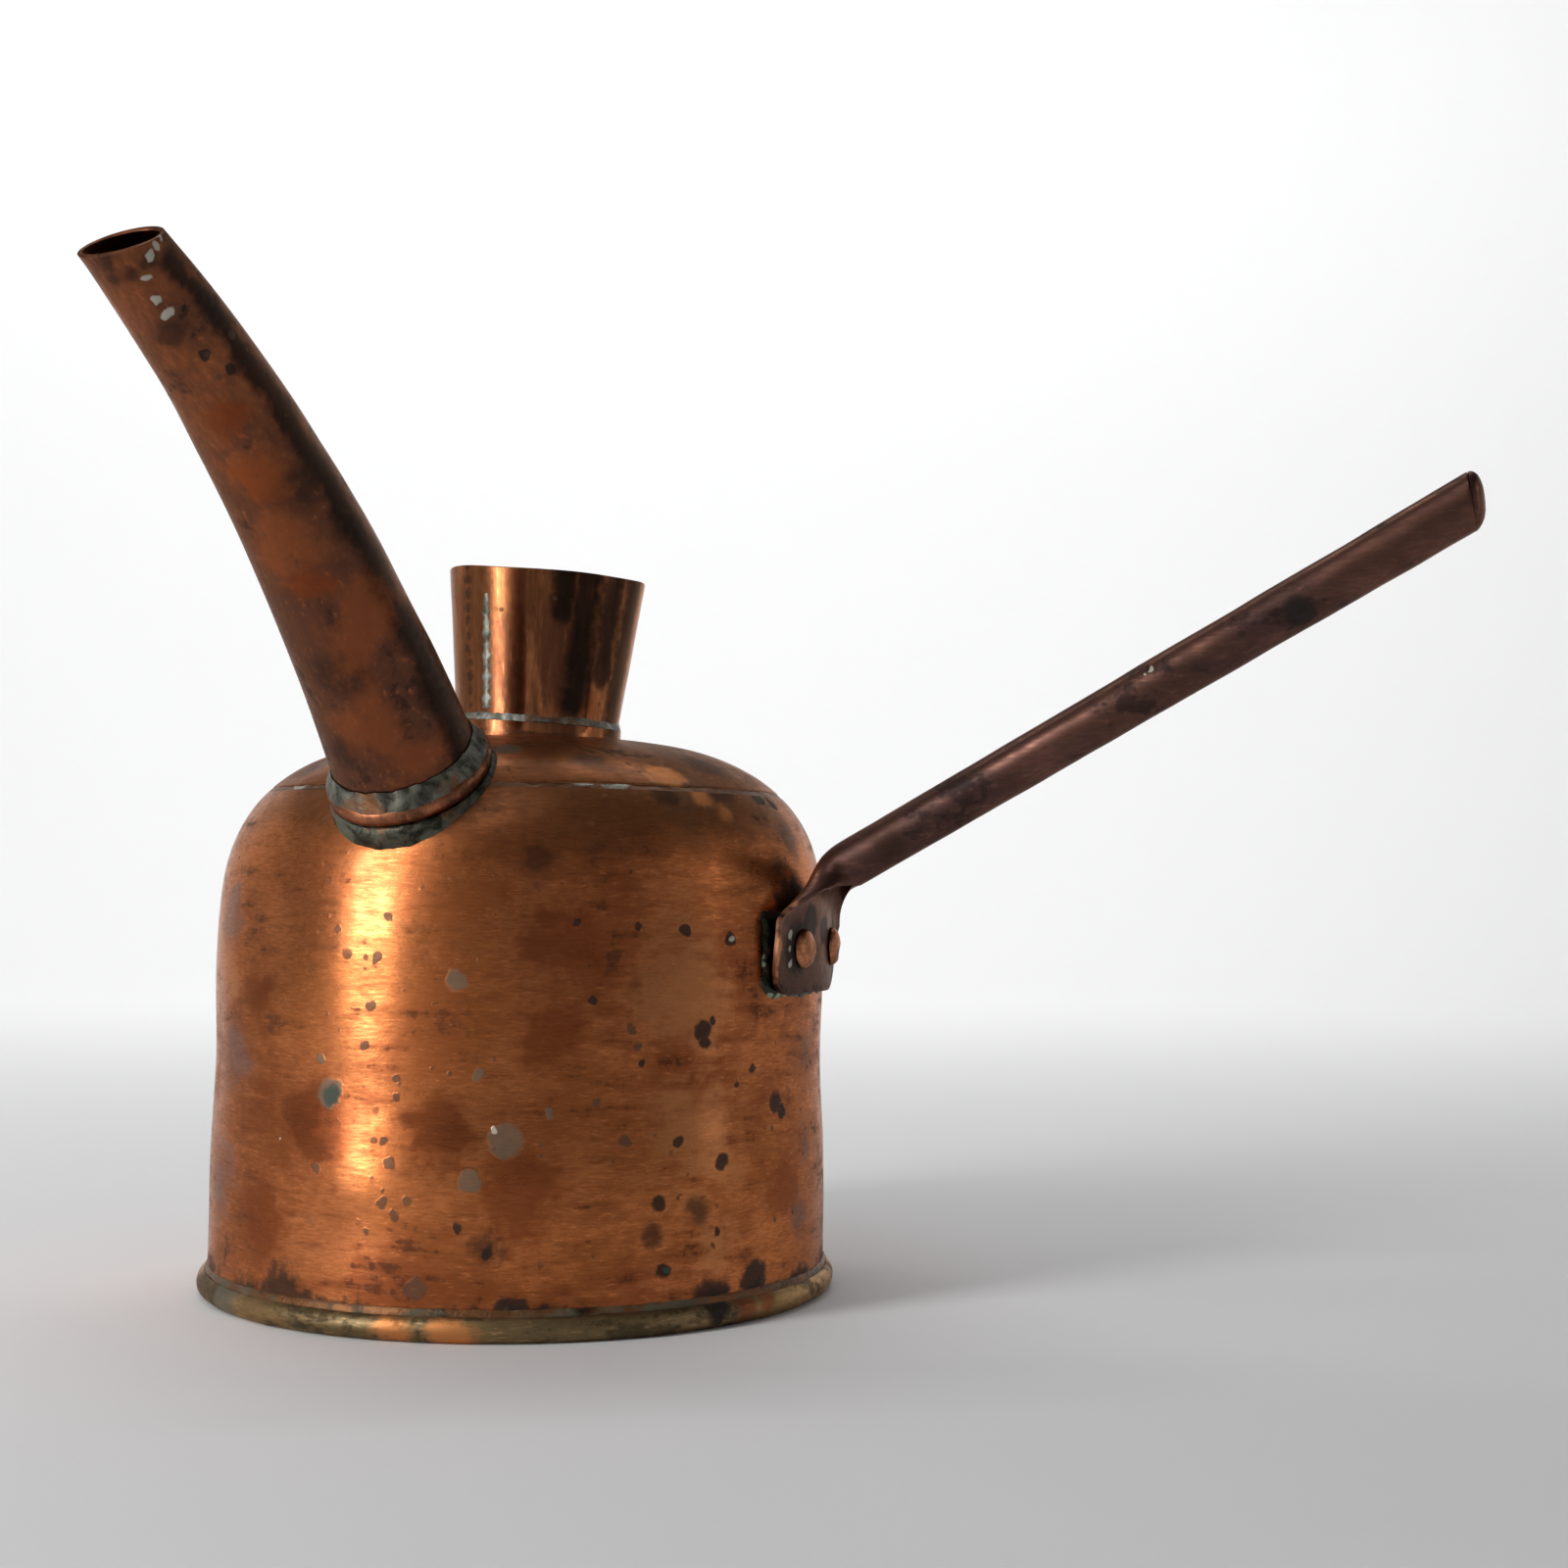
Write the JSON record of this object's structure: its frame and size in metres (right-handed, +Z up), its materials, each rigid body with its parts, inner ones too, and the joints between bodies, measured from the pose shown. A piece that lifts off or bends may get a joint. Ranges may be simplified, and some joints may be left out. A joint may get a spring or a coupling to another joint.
{
  "type": "watering can",
  "caption": "Round copper watering can with a domed top, a central filler neck, a long bent spout and a straight tubular side handle riveted to the wall.",
  "frame": {"origin": "centre of the flat underside, on the axis of the body", "axes": "+Z up along the body's axis, -Y the way the spout leans, +X the way the handle points"},
  "size_m": [0.413, 0.3434, 0.2919],
  "materials": {
    "body_copper": "worn, hand-rubbed copper with brown patina, scratches and oxide spots",
    "spout_copper": "dark purple-brown patinated copper with olive mottling",
    "filler_copper": "smooth, brighter copper with a brown bloom",
    "handle_copper": "dark, handled copper, brown to purple",
    "rivet_copper": "dull copper",
    "bright_solder": "dull grey tin solder",
    "green_solder": "tin solder under a skin of verdigris",
    "iron_wire": "rusted iron wire"
  },
  "bodies": {
    "root": {"body_wall": "body_copper", "crown": "body_copper", "crown_solder": "bright_solder", "bottom_plate": "body_copper", "base_wire": "iron_wire", "base_solder": "green_solder", "spout_tube": "spout_copper", "spout_collar": "body_copper", "spout_upper_solder": "bright_solder", "spout_root_solder": "green_solder", "spout_seam_solder": "bright_solder", "filler_cone": "filler_copper", "filler_collar": "filler_copper", "filler_solder": "bright_solder", "filler_seam_solder": "bright_solder", "handle_tube": "handle_copper", "handle_end_cap": "handle_copper", "palm_solder": "green_solder", "rivet_front": "rivet_copper", "rivet_rear": "rivet_copper", "rove_front": "rivet_copper", "rove_rear": "rivet_copper"}
  },
  "joints": []
}
